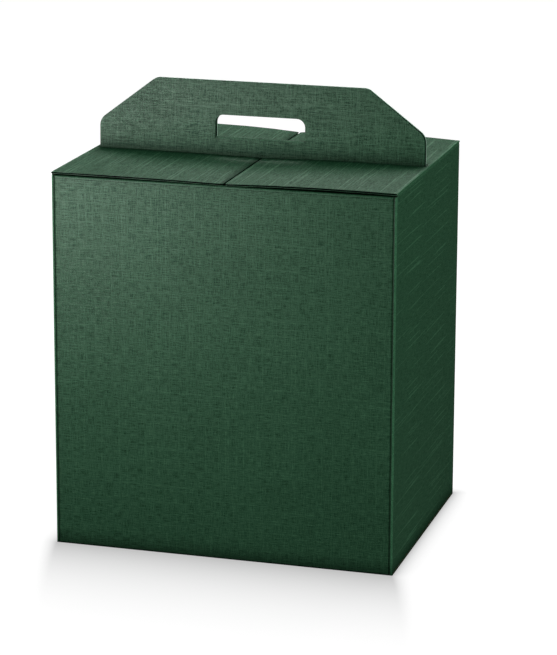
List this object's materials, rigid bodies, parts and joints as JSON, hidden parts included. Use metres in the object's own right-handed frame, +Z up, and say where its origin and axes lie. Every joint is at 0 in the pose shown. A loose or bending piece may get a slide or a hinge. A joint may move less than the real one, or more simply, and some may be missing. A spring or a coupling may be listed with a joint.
{
  "type": "gift box with handle",
  "caption": "Tall folded carton with slotted side flaps that close round a stand-up double handle with a hand hole.",
  "frame": {"origin": "middle of the carton's footprint, on the surface it stands on", "axes": "+X to the right along the handle, +Y to the back, +Z up; the front panel faces -Y"},
  "size_m": [0.36, 0.28, 0.4715],
  "materials": {
    "linen_board_body": "matt linen-embossed laminated paper, dark green",
    "linen_board_handle": "matt linen-embossed laminated paper, dark green",
    "linen_board_flap": "matt linen-embossed laminated paper, dark green"
  },
  "bodies": {
    "carton": {"carton_body": "linen_board_body", "front_handle_flap": "linen_board_handle", "back_handle_flap": "linen_board_handle"},
    "left_flap": {"left_side_flap": "linen_board_flap"},
    "right_flap": {"right_side_flap": "linen_board_flap"}
  },
  "joints": [
    {"name": "left_flap_fold", "type": "hinge", "parent": "carton", "child": "left_flap", "pos_m": [-0.179, 0, 0.394], "axis": [0, -1, 0], "range_deg": [0, 180]},
    {"name": "right_flap_fold", "type": "hinge", "parent": "carton", "child": "right_flap", "pos_m": [0.179, 0, 0.394], "axis": [0, 1, 0], "range_deg": [0, 180]}
  ]
}
